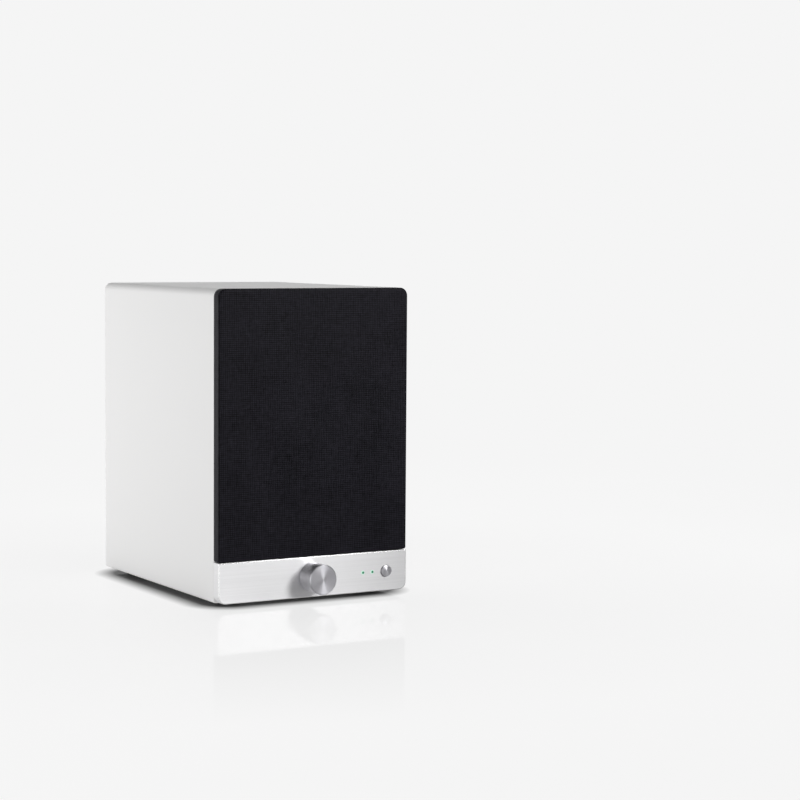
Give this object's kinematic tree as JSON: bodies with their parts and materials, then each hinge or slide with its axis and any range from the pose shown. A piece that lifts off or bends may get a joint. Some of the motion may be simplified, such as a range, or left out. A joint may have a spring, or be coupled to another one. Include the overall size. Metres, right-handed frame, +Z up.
{
  "type": "bookshelf speaker",
  "caption": "Active two-way bookshelf speaker in white lacquer with a pull-off black cloth grille, aluminium control bar and knob, woofer, dome tweeter, bass port and rear connectors.",
  "frame": {"origin": "on the surface it stands on, in the middle of its overall width and depth", "axes": "+Z up, the front faces -Y, +X to the right seen from the front"},
  "size_m": [0.172, 0.256, 0.254],
  "materials": {
    "white_lacquer": "satin white lacquer on fibreboard",
    "fibreboard": "raw fibreboard",
    "felt": "needled felt",
    "rubber_black": "matt rubber",
    "grille_fabric": "fine black weave",
    "frame_plastic": "moulded, fine texture",
    "bar_aluminium": "brushed along its length",
    "knob_aluminium": "turned face, satin side",
    "button_metal": "turned and polished",
    "light_pipe": "clear, lit green",
    "circuit_board": "solder mask",
    "bright_steel": "zinc plated",
    "black_steel": "black oxide",
    "basket_metal": "black satin paint",
    "cone_paper": "matt black, pressed",
    "surround_rubber": "satin butyl rubber",
    "spider_cloth": "resin-dipped cloth",
    "copper_wire": "enamelled copper",
    "former_foil": "foil",
    "ferrite": "sintered, matt",
    "plate_steel": "zinc plated",
    "black_plastic": "moulded, fine texture",
    "dome_silk": "coated silk",
    "plate_paint": "black powder coat",
    "contact_metal": "nickel plated",
    "lever_red": "moulded, gloss",
    "lever_black": "moulded, gloss",
    "wire_jacket": "flexible jacket"
  },
  "bodies": {
    "cabinet": {"cabinet_wrap": "white_lacquer", "front_baffle": "white_lacquer", "rear_panel": "white_lacquer", "window_brace": "fibreboard", "damping_felt": "felt", "feet": "rubber_black", "grille_sockets": "rubber_black", "front_bar": "bar_aluminium", "encoder": "bright_steel", "control_board": "circuit_board", "small_screws": "bright_steel", "bar_screws": "bright_steel", "light_pipes": "light_pipe", "button_dome": "rubber_black", "cable_grommet": "rubber_black", "woofer_basket": "basket_metal", "woofer_gasket": "rubber_black", "woofer_magnet": "ferrite", "woofer_pole_plates": "plate_steel", "woofer_screws": "black_steel", "woofer_terminals": "bright_steel", "tweeter_mount": "black_plastic", "tweeter_guard": "black_plastic", "tweeter_magnet": "plate_steel", "port_tube": "black_plastic", "connector_plate": "plate_paint", "plate_screws": "black_steel", "mains_inlet": "black_plastic", "inlet_pins": "contact_metal", "switch_housing": "black_plastic", "terminal_block": "black_plastic", "terminal_springs": "bright_steel", "line_in_jacks": "contact_metal", "jack_insulators": "black_plastic", "network_socket": "contact_metal", "amplifier_board": "circuit_board", "heat_sink": "former_foil", "supply_board": "circuit_board", "crossover_board": "circuit_board", "inner_wiring": "wire_jacket"},
    "grille": {"grille_frame": "frame_plastic", "grille_pegs": "black_plastic", "grille_cloth": "grille_fabric"},
    "volume_control": {"volume_knob": "knob_aluminium", "knob_set_screw": "black_steel", "encoder_shaft": "bright_steel"},
    "power_button_cap": {"power_button": "button_metal"},
    "woofer_diaphragm": {"woofer_cone": "cone_paper", "dust_cap": "cone_paper", "voice_coil_former": "former_foil", "voice_coil": "copper_wire", "woofer_surround": "surround_rubber", "woofer_spider": "spider_cloth"},
    "tweeter_diaphragm": {"tweeter_dome": "dome_silk", "tweeter_coil": "copper_wire", "tweeter_suspension": "dome_silk"},
    "mains_rocker": {"switch_rocker": "lever_black"},
    "left_lever": {"terminal_lever_left": "lever_red"},
    "right_lever": {"terminal_lever_right": "lever_black"},
    "setup_button_cap": {"setup_button": "black_plastic"}
  },
  "joints": [
    {"name": "grille_pull", "type": "slide", "parent": "cabinet", "child": "grille", "axis": [0, -1, 0], "range_m": [0, 0.12]},
    {"name": "volume_turn", "type": "hinge", "parent": "cabinet", "child": "volume_control", "pos_m": [-0.002, -0.118, 0.0204], "axis": [0, -1, 0], "continuous": true},
    {"name": "power_press", "type": "slide", "parent": "cabinet", "child": "power_button_cap", "axis": [0, 1, 0], "range_m": [0, 0.0012], "stiffness_N_per_m": 1200, "deforming": ["button_dome"]},
    {"name": "woofer_travel", "type": "slide", "parent": "cabinet", "child": "woofer_diaphragm", "axis": [0, 1, 0], "range_m": [-0.004, 0.004], "stiffness_N_per_m": 1000, "deforming": ["woofer_surround", "woofer_spider"]},
    {"name": "tweeter_travel", "type": "slide", "parent": "cabinet", "child": "tweeter_diaphragm", "axis": [0, 1, 0], "range_m": [-0.0003, 0.0003], "stiffness_N_per_m": 2000, "deforming": ["tweeter_suspension"]},
    {"name": "mains_switch", "type": "hinge", "parent": "cabinet", "child": "mains_rocker", "pos_m": [0.022, 0.1175, 0.048], "axis": [1, 0, 0], "range_deg": [0, 16]},
    {"name": "left_lever_press", "type": "hinge", "parent": "cabinet", "child": "left_lever", "pos_m": [-0.0115, 0.1175, 0.0904], "axis": [-1, 0, 0], "range_deg": [0, 20], "stiffness_Nm_per_rad": 0.03, "deforming": ["terminal_springs"]},
    {"name": "right_lever_press", "type": "hinge", "parent": "cabinet", "child": "right_lever", "pos_m": [0.0115, 0.1175, 0.0904], "axis": [-1, 0, 0], "range_deg": [0, 20], "stiffness_Nm_per_rad": 0.03, "deforming": ["terminal_springs"]},
    {"name": "setup_press", "type": "slide", "parent": "cabinet", "child": "setup_button_cap", "axis": [0, -1, 0], "range_m": [0, 0.0006], "stiffness_N_per_m": 1500}
  ]
}
